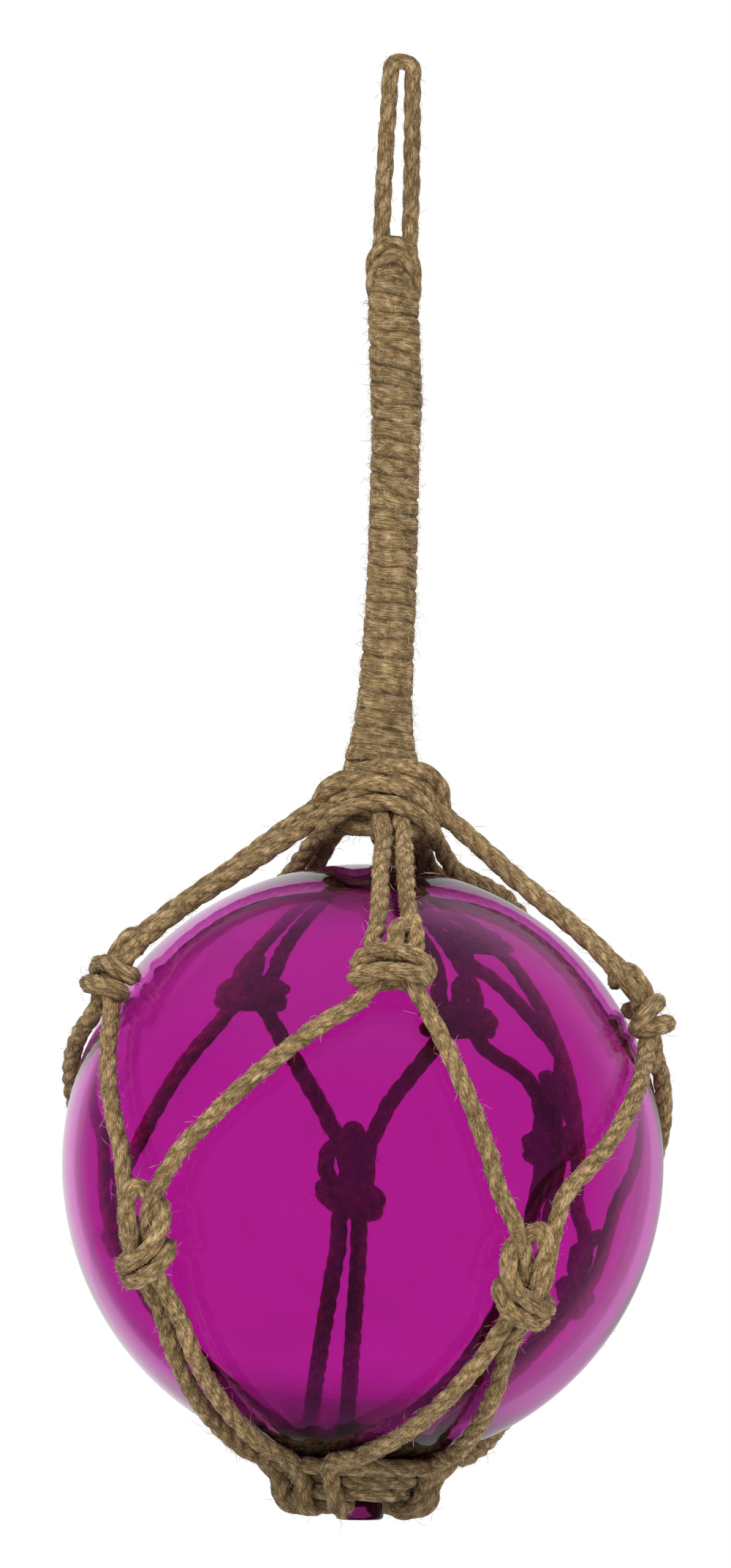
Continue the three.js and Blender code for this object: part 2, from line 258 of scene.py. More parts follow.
def fuzzFinish():
    finish = Finish("loose_jute_fibres")
    place = finish.node("ShaderNodeTexCoord", {}, {}, 3)
    mottle = finish.range(finish.noise(place, jute["looseScale"], 1.0), 0.35, 0.65)
    colour = finish.mixColour(mottle, opaque(jute["looseDark"]), opaque(jute["loosePale"]))
    return finish.set(Base_Color=colour, Roughness=0.7, Specular_IOR_Level=0.2)


# Glass: clear purple and blown, so its surface is slightly uneven. Its colour is painted darker at the top,
# as a painted dark reflection, and at the foot, as painted shade under the net's base
glass = {
    "colour": (0.645, 0.088, 0.512),
    # colour and reach of the painted dark reflection at the top and the painted shade at the foot
    "reflectionShadeColour": (0.15, 0.010, 0.085),
    "darkReflectionTop": 17.0 * mm,
    "paintedShadeFoot": 47.0 * mm,
    "wall": 4.0 * mm,
    "hollowHeight": 0.975,
    "ior": 1.48,
    "sealRadius": 8.0 * mm,
    "sealLength": 18.0 * mm,
    "sealLean": 1.5,
    "sealFillet": 5.0 * mm,
    "sealEdge": 1.4 * mm,
    "sides": 128,
    "rows": 96,
    "merge": 1e-6,
    "waveScale": 16.0,
    "waveRelief": 0.6 * mm,
    "markScale": 260.0,
    "markRoughness": 0.025,
}


def glassFinish():
    finish = Finish("purple_glass")
    place = finish.node("ShaderNodeTexCoord", {}, {}, 3)
    waves = finish.noise(place, glass["waveScale"], 1.0)
    marks = finish.noise(place, glass["markScale"], 2.0)
    relief = {"Height": waves, "Strength": 0.3, "Distance": glass["waveRelief"]}
    bump = finish.node("ShaderNodeBump", {}, relief)
    rough = finish.range(marks, 0.5, 0.8, 0.0, glass["markRoughness"])
    level = finish.node("ShaderNodeSeparateXYZ", {}, {0: place}, "Z")
    # painted dark reflection at the top and painted shade at the foot, mixed into the glass colour
    top = finish.range(level, ballHigh.z - glass["darkReflectionTop"], ballHigh.z)
    foot = finish.range(level, ballLow.z + glass["sealLength"], ballLow.z + glass["paintedShadeFoot"], 1.0, 0.0)
    colour = finish.mixColour(top + foot, opaque(glass["colour"]), opaque(glass["reflectionShadeColour"]))
    return finish.set(
        Base_Color=colour, Roughness=rough, Normal=bump, IOR=glass["ior"], Transmission_Weight=1.0,
    )


# Cord making
cordStyle = {
    "step": 1.25 * mm,
    "sides": 8,
    "plies": 3,
    "pitch": 23.0 * mm,
    "plyOffset": 0.31,
    "plyRadius": 0.70,
    "wander": 0.05,
    "lumps": 6.0 * mm,
    "turnWander": 0.2,
    "turnLumps": 9.0 * mm,
    "grooveFoot": 0.80,
    "grooveRim": 0.95,
    "routeSteps": 14,
    "merge": 1e-7,
}


def wander(marks, chance, amount, length):
    count = max(3, int(marks[-1] / length) + 2)
    knots = [chance.uniform(-amount, amount) for _ in range(count)]
    return np.interp(marks, np.linspace(0, marks[-1], count), knots)


def smoothRoute(points, step):
    tangents = []
    for i, point in enumerate(points):
        before = points[max(i - 1, 0)]
        after = points[min(i + 1, len(points) - 1)]
        near = max((point - before).length, 1e-6)
        far = max((after - point).length, 1e-6)
        tangent = (point - before) / near * far + (after - point) / far * near
        tangents.append(tangent.normalized())
    fine = []
    for i in range(len(points) - 1):
        reach = (points[i + 1] - points[i]).length / 3
        first = points[i] + tangents[i] * reach
        second = points[i + 1] - tangents[i + 1] * reach
        fine += interpolate_bezier(points[i], first, second, points[i + 1], cordStyle["routeSteps"])[:-1]
    fine.append(points[-1])
    path = np.array(fine)
    lengths = np.concatenate(([0.0], np.cumsum(np.linalg.norm(np.diff(path, axis=0), axis=1))))
    count = max(4, round(lengths[-1] / step))
    marks = np.linspace(0, lengths[-1], count + 1)
    return np.stack([np.interp(marks, lengths, path[:, axis]) for axis in range(3)], axis=1), marks


def steadyFrames(path):
    tangents = np.gradient(path, axis=0)
    tangents /= np.linalg.norm(tangents, axis=1)[:, None]
    side = np.cross(tangents[0], (0.3, 0.2, 1.0))
    sides = []
    for tangent in tangents:
        side = side - tangent * side.dot(tangent)
        side = side / np.linalg.norm(side)
        sides.append(side)
    sides = np.array(sides)
    return tangents, sides, np.cross(tangents, sides)


# A cord is a route and a radius. One curve object carries every ply of a piece's cords.
def makeCords(name, cords, material, hairs, seed):
    chance = random.Random(seed)
    curve = bpy.data.curves.new(name, "CURVE")
    curve.dimensions = "3D"
    curve.bevel_depth = 1.0
    curve.bevel_resolution = cordStyle["sides"] // 2 - 2
    rings = []
    framed = []
    for laid in cords:
        path, marks = smoothRoute(laid["points"], laid.get("step", cordStyle["step"]))
        tangents, sides, ups = steadyFrames(path)
        radius = laid["radius"]
        phase = chance.uniform(0, 2 * math.pi)
        turn = 2 * math.pi * marks / laid.get("pitch", cordStyle["pitch"]) + phase
        framed.append((path, tangents, sides, ups, radius))
        for ply in range(cordStyle["plies"]):
            lumps = 1 + wander(marks, chance, cordStyle["wander"], cordStyle["lumps"])
            lumps[0] = lumps[-1] = 0.0
            sway = wander(marks, chance, cordStyle["turnWander"], cordStyle["turnLumps"])
            angle = turn + ply * 2 * math.pi / cordStyle["plies"] + sway
            out = sides * np.cos(angle)[:, None] + ups * np.sin(angle)[:, None]
            centre = path + out * (cordStyle["plyOffset"] * radius)
            spline = curve.splines.new("POLY")
            spline.points.add(len(path) - 1)
            spline.points.foreach_set("co", np.c_[centre, np.ones(len(path))].ravel())
            spline.points.foreach_set("radius", lumps * cordStyle["plyRadius"] * radius)
            rings.append((path, sides, ups, marks + chance.uniform(0, 1), radius))
    mesh = meshFromCurve(curve, name)
    markCordMesh(mesh, rings)
    closeEnds(mesh)
    piece = addPiece(name, mesh, material)
    addFuzz(name + "_fuzz", rootsOnCords(framed, hairs, chance), chance)
    return piece


def addPiece(name, mesh, material):
    piece = bpy.data.objects.new(name, mesh)
    stage.collection.objects.link(piece)
    mesh.materials.append(material)
    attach(piece, "root")
    print(name, "triangles", sum(len(face.vertices) - 2 for face in mesh.polygons))
    return piece


def meshFromCurve(curve, name):
    holder = bpy.data.objects.new(name + "_curve", curve)
    stage.collection.objects.link(holder)
    graph = bpy.context.evaluated_depsgraph_get()
    mesh = bpy.data.meshes.new_from_object(holder.evaluated_get(graph))
    mesh.name = name
    bpy.data.objects.remove(holder)
    bpy.data.curves.remove(curve)
    return mesh


def markMesh(mesh, lay, outside):
    mesh.attributes.new("lay", "FLOAT_VECTOR", "POINT").data.foreach_set("vector", lay.ravel())
    mesh.attributes.new("open", "FLOAT", "POINT").data.foreach_set("value", outside)


# Where each point lies along and across its cord, and how far out of the grooves between plies
def markCordMesh(mesh, rings):
    places = np.empty(len(mesh.vertices) * 3)
    mesh.vertices.foreach_get("co", places)
    places = places.reshape(-1, 3)
    lay = np.zeros_like(places)
    outside = np.zeros(len(places))
    start = 0
    ring = cordStyle["sides"]
    foot = cordStyle["grooveFoot"]
    rim = cordStyle["grooveRim"]
    for path, sides, ups, marks, radius in rings:
        end = start + len(path) * ring
        fromAxis = places[start:end].reshape(-1, ring, 3) - path[:, None, :]
        lay[start:end, 0] = np.repeat(marks, ring)
        lay[start:end, 1] = (fromAxis * sides[:, None, :]).sum(2).ravel() + marks[0]
        lay[start:end, 2] = (fromAxis * ups[:, None, :]).sum(2).ravel() + marks[0] * 2
        share = np.linalg.norm(fromAxis, axis=2).ravel() / radius
        outside[start:end] = np.clip((share - foot) / (rim - foot), 0, 1)
        start = end
    markMesh(mesh, lay, outside)


def closeEnds(mesh):
    shape = bmesh.new()
    shape.from_mesh(mesh)
    bmesh.ops.remove_doubles(shape, verts=shape.verts, dist=cordStyle["merge"])
    bmesh.ops.dissolve_degenerate(shape, edges=shape.edges, dist=cordStyle["merge"])
    bmesh.ops.recalc_face_normals(shape, faces=shape.faces)
    for face in shape.faces:
        face.smooth = True
    shape.to_mesh(mesh)
    shape.free()


# Loose fibres that stand off the cords
fuzz = {
    "thickness": 0.075 * mm,
    "shortest": 1.0 * mm,
    "longest": 6.0 * mm,
    "longShare": 0.16,
    "shortReach": 0.36,
    "rootDepth": 0.88,
    "sway": 0.9,
    "lift": (0.15, 1.1),
    "curl": 0.3,
    "droop": 0.45,
    "taper": 1.2,
}


def rootsOnCords(framed, count, chance):
    roots = []
    weights = [len(frames[0]) * frames[4] for frames in framed]
    for path, tangents, sides, ups, radius in chance.choices(framed, weights, k=count):
        station = chance.randrange(1, len(path) - 1)
        angle = chance.uniform(0, 2 * math.pi)
        out = Vector(sides[station] * math.cos(angle) + ups[station] * math.sin(angle))
        place = Vector(path[station]) + out * radius * fuzz["rootDepth"]
        roots.append((place, out, Vector(tangents[station])))
    return roots


def addFuzz(name, roots, chance):
    curve = bpy.data.curves.new(name, "CURVE")
    curve.dimensions = "3D"
    curve.bevel_depth = 1.0
    curve.bevel_resolution = 0
    for place, out, tangent in roots:
        long = chance.random() < fuzz["longShare"]
        longest = fuzz["longest"] if long else fuzz["longest"] * fuzz["shortReach"]
        length = chance.uniform(fuzz["shortest"], longest)
        along = tangent * chance.choice((-1, 1))
        cross = out.cross(along) * chance.uniform(-fuzz["sway"], fuzz["sway"])
        lift = chance.uniform(*fuzz["lift"])
        shares = (0.0, 0.4, 0.75, 1.0) if long else (0.0, 0.5, 1.0)
        spline = curve.splines.new("POLY")
        spline.points.add(len(shares) - 1)
        for point, share in zip(spline.points, shares):
            reach = length * share
            bend = along * reach * (1 - fuzz["curl"] * share)
            bend += out * reach * lift * (1 - fuzz["droop"] * share) + cross * reach * share
            point.co = (*(place + bend), 1)
            point.radius = fuzz["thickness"] * (fuzz["taper"] - share) if 0 < share < 1 else 0.0
    mesh = meshFromCurve(curve, name)
    closeEnds(mesh)
    addPiece(name, mesh, fuzzMaterial)


# Cord wound tightly round and round, as one sheet whose relief is worked from the turns
winding = {
    "pitch": 6.0 * mm,
    "groove": 0.85 * mm,
    "grooveSharpness": 5,
    "plyGroove": 0.50 * mm,
    "plySharpness": 6,
    "plyStep": 7.6 * mm,
    "plySlant": 1.15,
    "hair": 0.09 * mm,
    "hairSize": (3.2, 0.55),
    "merge": 1e-5,
    "uneven": {  # how much, over what size, and from what place in the noise
        "course": (0.16, 8.0 * mm, 0.0),
        "patch": (1.3, 5.0 * mm, 0.5),
        "twist": (0.15, 6.0 * mm, 1.5),
        "plyPatch": (1.6, 6.0 * mm, 2.5),
        "lump": (0.22 * mm, 4.5 * mm, 3.5),
    },
}


def noiseAt(places, size):
    return np.array([noise.noise(place) for place in (places / size).tolist()])


def uneven(name, places):
    amount, size, offset = winding["uneven"][name]
    return amount * noiseAt(places + offset, size)


def alongLevels(level, pairs):
    below = np.array([[-key * mm, value * mm] for key, value in pairs])
    return np.interp(-level, below[:, 0], below[:, 1])


# The grid's columns go round and its rows go down, between the plan's top and foot
def makeWinding(name, plan):
    shape = bmesh.new()
    bmesh.ops.create_grid(shape, x_segments=plan["around"], y_segments=plan["down"], size=1)
    mesh = bpy.data.meshes.new(name)
    shape.to_mesh(mesh)
    shape.free()
    flat = np.empty(len(mesh.vertices) * 3)
    mesh.vertices.foreach_get("co", flat)
    flat = flat.reshape(-1, 3)
    top = plan["top"] * mm
    foot = plan["foot"] * mm
    turn = (flat[:, 0] - flat[:, 0].min()) / np.ptp(flat[:, 0]) * 2 * math.pi
    level = foot + (top - foot) * (flat[:, 1] - flat[:, 1].min()) / np.ptp(flat[:, 1])
    centre = alongLevels(level, plan["middles"])
    radius = alongLevels(level, plan["radii"])
    core = np.c_[radius * np.sin(turn), -radius * np.cos(turn), level]
    course = (top - level) / winding["pitch"] - turn / (2 * math.pi) + uneven("course", core)
    whole = np.floor(course)
    across = course - whole - 0.5
    run = (whole + turn / (2 * math.pi)) * 2 * math.pi * plan["radii"][0][1] * mm
    patch = np.clip(0.75 + uneven("patch", core), 0.15, 1.5)
    groove = np.abs(2 * across) ** winding["grooveSharpness"]
    twist = run / winding["plyStep"] - across * winding["plySlant"] + uneven("twist", core)
    ply = np.abs(2 * (twist - np.floor(twist)) - 1) ** winding["plySharpness"]
    plyPatch = np.clip(0.5 + uneven("plyPatch", core), 0.0, 1.3)
    hairLength, hairWidth = winding["hairSize"]
    hairPlace = np.c_[run / hairLength, across * winding["pitch"] / hairWidth, whole * 0.01] / mm
    relief = uneven("lump", core) + winding["hair"] * noiseAt(hairPlace, 1.0)
    relief -= groove * patch * winding["groove"] + ply * plyPatch * winding["plyGroove"]
    reach = radius + relief
    places = np.c_[centre + reach * np.sin(turn), -reach * np.cos(turn), level]
    mesh.vertices.foreach_set("co", places.ravel())
    outside = np.clip(1 - groove * patch - ply * plyPatch * 0.8, 0, 1)
    markMesh(mesh, np.c_[run, across * winding["pitch"], np.zeros(len(run))], outside)
    closeWinding(mesh)
    return mesh


def closeWinding(mesh):
    shape = bmesh.new()
    shape.from_mesh(mesh)
    bmesh.ops.remove_doubles(shape, verts=shape.verts, dist=winding["merge"])
    rims = [edge for edge in shape.edges if edge.is_boundary]
    bmesh.ops.holes_fill(shape, edges=rims, sides=0)
    bmesh.ops.recalc_face_normals(shape, faces=shape.faces)
    for face in shape.faces:
        face.smooth = len(face.verts) < 5
    shape.to_mesh(mesh)
    shape.free()


def rootsOnWinding(mesh, count, chance):
    roots = []
    for index in chance.choices(range(len(mesh.vertices)), k=count):
        vertex = mesh.vertices[index]
        out = vertex.normal.copy()
        out.z = 0
        if out.length > 0.5:
            out.normalize()
            roots.append((vertex.co.copy(), out, Vector((0, 0, 1)).cross(out)))
    return roots


juteMaterial = juteFinish("jute_net_cord", 1.05)
juteHandleMaterial = juteFinish("jute_handle_cord", 0.88)
fuzzMaterial = fuzzFinish()
glassMaterial = glassFinish()
print("finishes made")


def arc(across, upward, lastTurn, count):
    turns = [lastTurn * i / count for i in range(count + 1)]
    return [(across * math.sin(turn), upward * math.cos(turn)) for turn in turns]


# The glass shell, turned from the outlines of its outside and its hollow, with the seal button below
def makeGlass():
    seal = glass["sealRadius"]
    fillet = glass["sealFillet"]
    edge = glass["sealEdge"]
    bottom = -ballRadius - glass["sealLength"]
    inner = ballRadius - glass["wall"]
    joinRadius = seal + fillet
    lastTurn = math.pi - math.asin(joinRadius / ballRadius)
    outline = arc(ballRadius, ballRadius, lastTurn, glass["rows"])
    neckTop = outline[-1][1] - fillet
    for i in range(1, 9):
        turn = math.pi / 2 * i / 8
        outline.append((joinRadius - fillet * math.sin(turn), neckTop + fillet * (1 - math.sin(turn)) * 0.6))
    for i in range(7):
        turn = math.pi / 2 * i / 6
        outline.append((seal - edge + edge * math.cos(turn), bottom + edge - edge * math.sin(turn)))
    outline.append((0.0, bottom))
    hollow = arc(inner, inner * glass["hollowHeight"], math.pi, glass["rows"])
    shape = bmesh.new()
    for profile in (outline, hollow):
        corners = [shape.verts.new((max(across, 0.0), 0, level)) for across, level in profile]
        edges = [shape.edges.new(pair) for pair in zip(corners, corners[1:])]
        bmesh.ops.spin(
            shape, geom=corners + edges, cent=(0, 0, profile[0][1]), axis=(0, 0, 1), dvec=(0, 0, 0),
            angle=2 * math.pi, steps=glass["sides"], use_merge=True, use_normal_flip=False,
            use_duplicate=False,
        )
        bmesh.ops.remove_doubles(shape, verts=shape.verts, dist=glass["merge"])
    bmesh.ops.recalc_face_normals(shape, faces=shape.faces)
    hollowReach = inner + glass["wall"] / 4
    hollowFaces = [face for face in shape.faces if face.calc_center_median().length < hollowReach]
    for face in hollowFaces:
        face.normal_update()
    turnedOut = [face for face in hollowFaces if face.normal.dot(face.calc_center_median()) > 0]
    if turnedOut:
        bmesh.ops.reverse_faces(shape, faces=turnedOut)
    lean = Matrix.Rotation(-math.radians(glass["sealLean"]), 3, "Y")
    bmesh.ops.rotate(shape, verts=shape.verts, cent=(0, 0, 0), matrix=lean)
    bmesh.ops.translate(shape, verts=shape.verts, vec=ballCentre)
    for face in shape.faces:
        face.smooth = True
    mesh = bpy.data.meshes.new("glass_float")
    shape.to_mesh(mesh)
    shape.free()
    piece = addPiece("glass_float", mesh, glassMaterial)
    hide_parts("glass_ball")


makeGlass()
print("glass made")


# The net. Azimuth 0 faces the front and grows to the right. Angles are in degrees.
net = {
    "radius": 3.1 * mm,
    "ringCord": 2.8 * mm,
    "standOff": 0.6 * mm,
    "pairSpacing": 6.4 * mm,
    # azimuth, latitude, and azimuth at the crown
    "upper": [(5, 39, 15), (82, 30, 82), (143, 54, 130), (160, 30, 173), (208, 35, 225), (287, 34, 283)],
    # where each pair leaves the crown: reach from its middle, height over its foot, and fan, in millimetres
    "exits": [
        (18.5, 1.5, 0), (18.5, 7.5, 0), (18.5, 1.5, 0), (18.5, 1.5, 0), (18.5, 1.5, 0), (18.5, 5.8, 3.0),
    ],
    "exitStart": 10 * mm,
    "exitDrop": 5 * mm,
    "shortest": 20 * mm,
    # azimuth, latitude, and the azimuths of its two hitches on the ring
    "lower": [
        (33, -18, (-17, 60)),
        (126, -22, (82, 109)),
        (142, 9, (135, 161)),
        (182, -3, (187, 213)),
        (236, -12, (239, 264)),
        (317, -13, (290, 317)),
    ],
    "bends": {1: (126, -55), 4: (232, -55)},
    "bendSpread": 3,
    "flipUpper": [False, True, False, True, False, True],
    "flipLower": [True, False, True, False, True, False],
    "turnStep": 9.0,
    "hitchRadius": 5.95 * mm,
    "hitchReach": 5 * mm,
    "hitchStart": 15,
    "hitchSteps": 9,
    "hitchShift": 13.0,
    "bightLift": 45.0,
    "bightStep": 9,
    "hairs": 4600,
}

# Knots, in millimetres: across to the right, along to the top, and the cord's middle above the glass
upperKnot = {
    "left": [
        (-3.2, 24, 7.0), (-4.4, 14, 8.0), (-5.8, 7.5, 8.8), (-4.4, 1, 7.2), (-5.6, -5, 6.0),
        (-9.5, -10.5, 4.2),
    ],
    "right": [
        (6.4, 24, 7.0), (7.6, 14, 7.8), (7.4, 7.5, 8.6), (4.6, 1, 7.2), (5.6, -5, 6.0), (9.5, -10.5, 4.2),
    ],
    "bight": [
        (0.3, -3, 6.5), (0.4, 3, 9.6), (0.9, 9, 10.8), (2.6, 13.6, 10.2), (5.4, 15, 7.2), (8.0, 11, 4.6),
    ],
    "turns": [
        (2, 3.5, 3.4), (-6, 3, 3.6), (-10.4, 1.4, 6.6), (-6, 1.6, 11.2), (0.5, 1.4, 12.5), (7, 0.6, 11.6),
        (11.2, -1.2, 7.6), (7, -3, 3.7), (0, -3.6, 3.4), (-7, -4, 3.6), (-11.4, -4.4, 7.0), (-7, -5.2, 10.8),
        (0, -5.4, 11.9), (6, -5.2, 11.2), (10.2, -4.4, 7.2), (6.5, -3.4, 3.8), (0, -2, 3.4),
    ],
}
lowerKnot = {
    "left": [
        (-12.2, 26, 4.2), (-8.0, 16.5, 6.0), (-5.3, 9.5, 8.2), (-4.9, 2, 9.2), (-5.0, -5.5, 8.0),
        (-3.7, -12, 7.4), (-3.1, -19, 5.6), (-3.2, -28, 3.9),
    ],
    "right": [
        (12.8, 26, 4.2), (7.8, 17, 6.2), (3.8, 10, 6.8), (1.9, 3, 7.0), (1.8, -5.5, 6.8), (3.0, -12, 7.2),
        (3.6, -19, 5.6), (4.2, -28, 3.9),
    ],
    "bight": [
        (4.0, 5, 4.2), (2.6, 12, 5.6), (-0.4, 15.4, 9.0), (-1.6, 10.5, 11.6), (-0.9, 3, 12.2),
        (-1.0, -4, 11.4), (0.4, -9, 8.4),
    ],
    "turns": [
        (3, 11, 3.9), (7.2, 8.4, 5.2), (8.4, 3, 8.4), (6.2, -2.6, 11.8), (0.4, -6.2, 13.4),
        (-5.2, -8.4, 12.4), (-8.8, -8.8, 8.2), (-7.2, -7, 4.4), (0, -4.6, 3.6), (6.8, -4, 4.0), (9, -5, 7.4),
        (7, -8.8, 11.2),
        (1.4, -11.6, 12.6), (-4.6, -13.4, 11.4), (-8.4, -12.6, 7.6), (-6, -10.4, 4.2), (0, -8.6, 3.6),
    ],
}


ringReach = (ringHigh.y - ringLow.y) / 2 - net["ringCord"]


def aroundAxis(azimuth, radius, level, centre):
    turn = math.radians(azimuth)
    return Vector((centre.x + radius * math.sin(turn), centre.y - radius * math.cos(turn), level))


def byKnot(azimuth, latitude, place, flipped=False):
    across, along, height = (value * mm for value in place)
    if flipped:
        across = -across
    turn = math.radians(azimuth)
    tilt = math.radians(latitude)
    out = Vector((math.cos(tilt) * math.sin(turn), -math.cos(tilt) * math.cos(turn), math.sin(tilt)))
    right = Vector((math.cos(turn), math.sin(turn), 0))
    top = out.cross(right)
    level = out * ballRadius + right * across + top * along
    return ballCentre + level.normalized() * (ballRadius + height)


def overGlass(start, end, height):
    first = start - ballCentre
    last = end - ballCentre
    lowest = ballRadius + height
    middle = (first + last) / 2
    if middle.length > lowest:
        return [ballCentre + middle]
    count = math.ceil(math.degrees(first.angle(last)) / net["turnStep"])
    points = []
    for i in range(1, count):
        point = first.lerp(last, i / count)
        if point.length < lowest:
            point = point.normalized() * lowest
        points.append(ballCentre + point)
    return points


# One strand, from the crown through an upper and a lower knot to its hitch round the ring
def strandPoints(upperIndex, lowerIndex, side, hitch):
    azimuth, latitude, crownAzimuth = net["upper"][upperIndex]
    flipped = net["flipUpper"][upperIndex]
    lowAzimuth, lowLatitude, _ = net["lower"][lowerIndex]
    lowFlipped = net["flipLower"][lowerIndex]
    height = net["standOff"] + net["radius"]
    sideways = aroundAxis(crownAzimuth + 90, side * net["pairSpacing"] / 2, 0, Vector())
    reach, lift, fan = (value * mm for value in net["exits"][upperIndex])
    level = crownLow.z + lift - side * fan / 2
    start = aroundAxis(crownAzimuth, net["exitStart"], level + net["exitDrop"], crownCentre) + sideways
    exit = aroundAxis(crownAzimuth, reach, level, crownCentre) + sideways
    ownSide = "right" if (side > 0) != flipped else "left"
    knot = [byKnot(azimuth, latitude, place, flipped) for place in upperKnot[ownSide]]
    lowSide = "left" if (side > 0) != lowFlipped else "right"
    lowKnot = [byKnot(lowAzimuth, lowLatitude, place, lowFlipped) for place in lowerKnot[lowSide]]
    if (knot[-1] - lowKnot[0]).length < net["shortest"]:
        lowKnot = lowKnot[1:]
    arrival = aroundAxis(hitch, ringReach + net["hitchRadius"] + net["hitchReach"], 0, ringCentre)
    drop = arrival - ballCentre
    drop.z = 0
    arrival.z = ballCentre.z - math.sqrt((ballRadius + height) ** 2 - drop.length_squared)
    points = [start, exit] + overGlass(exit, knot[0], height) + knot
    points += overGlass(knot[-1], lowKnot[0], height) + lowKnot
    descent = [lowKnot[-1], arrival]
    if lowerIndex in net["bends"]:
        across = net["bendSpread"] if (lowSide == "right") != lowFlipped else -net["bendSpread"]
        descent.insert(1, byKnot(*net["bends"][lowerIndex], (across, 0, height / mm)))
    for above, below in zip(descent, descent[1:]):
        points += overGlass(above, below, height) + [below]
    steps = net["hitchSteps"]
    last = 360 - net["bightLift"]
    for i in range(steps + 1):
        angle = math.radians(net["hitchStart"] - (net["hitchStart"] + last) * i / steps)
        radius = ringReach + net["hitchRadius"] * math.cos(angle)
        level = ringCentre.z + net["hitchRadius"] * math.sin(angle)
        points.append(aroundAxis(hitch + side * net["hitchShift"] * i / steps, radius, level, ringCentre))
    return points


# A doubled cord: down from one crown place, round the ring, along its bight and up to the other.
# Where its hitches leave no room for the bight, its two strands end side by side.
def doubledCord(index, following, hitches):
    first = strandPoints(index, index, 1, hitches[0])
    last = strandPoints(following, index, -1, hitches[1])
    angle = math.radians(net["bightLift"])
    radius = ringReach + net["hitchRadius"] * math.cos(angle)
    level = ringCentre.z + net["hitchRadius"] * math.sin(angle)
    start = hitches[0] + net["hitchShift"]
    end = hitches[1] - net["hitchShift"]
    if end <= start:
        return [first, last]
    count = max(2, round((end - start) / net["bightStep"]))
    turns = [start + (end - start) * i / count for i in range(1, count)]
    bight = [aroundAxis(turn, radius, level, ringCentre) for turn in turns]
    return [first + bight + last[::-1]]


def makeNet():
    count = len(net["upper"])
    for index in range(count):
        following = (index + 1) % count
        lowAzimuth, lowLatitude, hitches = net["lower"][index]
        highAzimuth, highLatitude, _ = net["upper"][following]
        routes = doubledCord(index, following, hitches)
        for azimuth, latitude, flipped, knot in (
            (lowAzimuth, lowLatitude, net["flipLower"][index], lowerKnot),
            (highAzimuth, highLatitude, net["flipUpper"][following], upperKnot),
        ):
            for part in ("bight", "turns"):
                routes.append([byKnot(azimuth, latitude, place, flipped) for place in knot[part]])
        cords = [{"points": points, "radius": net["radius"]} for points in routes]
        name = f"jute_net_cord_{index + 1}"
        piece = makeCords(name, cords, juteMaterial, hairs=net["hairs"], seed=20 + index)
        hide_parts(f"net_cord_{index + 1}")


makeNet()
print("net made")


# The ring under the ball: two courses, and a wider one that hugs the glass
baseRing = {
    "second": (0.6 * mm, 5.2 * mm),
    "hug": 7.5 * mm,
    "hugGap": 0.2 * mm,
    "points": 24,
    "hairs": 120,
}


def makeBaseRing():
    wider, higher = baseRing["second"]
    hug = ringReach + baseRing["hug"]
    touch = ballCentre.z - math.sqrt((ballRadius + net["radius"] + baseRing["hugGap"]) ** 2 - hug ** 2)
    count = baseRing["points"]
    cords = []
    for radius, level in (
        (ringReach, ringCentre.z), (ringReach + wider, ringCentre.z + higher), (hug, touch),
    ):
        points = [aroundAxis(360 * i / count, radius, level, ringCentre) for i in range(count + 2)]
        cords.append({"points": points, "radius": net["radius"]})
    piece = makeCords("jute_base_ring", cords, juteMaterial, hairs=baseRing["hairs"], seed=7)
    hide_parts("base_ring")


makeBaseRing()
print("base ring made")


# The bound handle, a cord wound over the strands' ends. Middles and radii are by level, in millimetres.
handle = {
    "winding": {
        "top": -63,
        "foot": -229.5,
        "middles": [
            (-58, -0.3), (-80, 0.1), (-95, 1.1), (-110, 2.2), (-145, 2.6), (-175, 2.8), (-200, 2.1),
            (-230, 1.3),
        ],
        "radii": [
            (-62, 5.6), (-66, 7.6), (-72, 8.4), (-80, 8.6), (-110, 8.7), (-125, 8.1), (-150, 8.2),
            (-190, 8.6), (-210, 9.2), (-218, 10.0), (-225, 11.2), (-230, 12.6),
        ],
        "around": 150,
        "down": 520,
    },
    "windingHairs": 5200,
    "bight": [
        (5.0, 2.5, -80), (6.2, -0.6, -74), (6.2, -2.6, -67.5), (4.8, -3.2, -61.4), (1.2, -3.8, -57.8),
        (-3.0, -3.8, -58.2), (-6.2, -3.4, -62.0), (-6.9, -3.2, -67.4), (-5.8, -0.6, -75), (-4, 2, -80),
    ],
    "second": [
        (-5.4, -3.0, -68.5), (-4.0, -6.0, -64.4), (0.0, -7.2, -62.0), (4.0, -6.4, -64.2), (6.2, -3.4, -69.2),
        (6.0, 0.4, -76),
    ],
    "end": [
        (-5.2, -5.4, -69.6), (-3.0, -7.4, -68.4), (0.4, -8.0, -68.0), (3.2, -6.8, -69.6), (4.4, -4.0, -72),
    ],
    "topCords": (("bight", 2.9), ("second", 2.6), ("end", 2.2)),
    "topStep": 0.9 * mm,
    "topHairs": 300,
}


def makeHandle():
    chance = random.Random(11)
    name = "jute_handle_whipping"
    mesh = makeWinding(name, handle["winding"])
    piece = addPiece(name, mesh, juteHandleMaterial)
    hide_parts("handle_whipping")
    addFuzz(name + "_fuzz", rootsOnWinding(mesh, handle["windingHairs"], chance), chance)
    cords = []
    for part, radius in handle["topCords"]:
        points = [Vector(place) * mm for place in handle[part]]
        cords.append({"points": points, "radius": radius * mm, "step": handle["topStep"]})
    makeCords("jute_handle_top", cords, juteHandleMaterial, hairs=handle["topHairs"], seed=3)


makeHandle()
print("handle made")


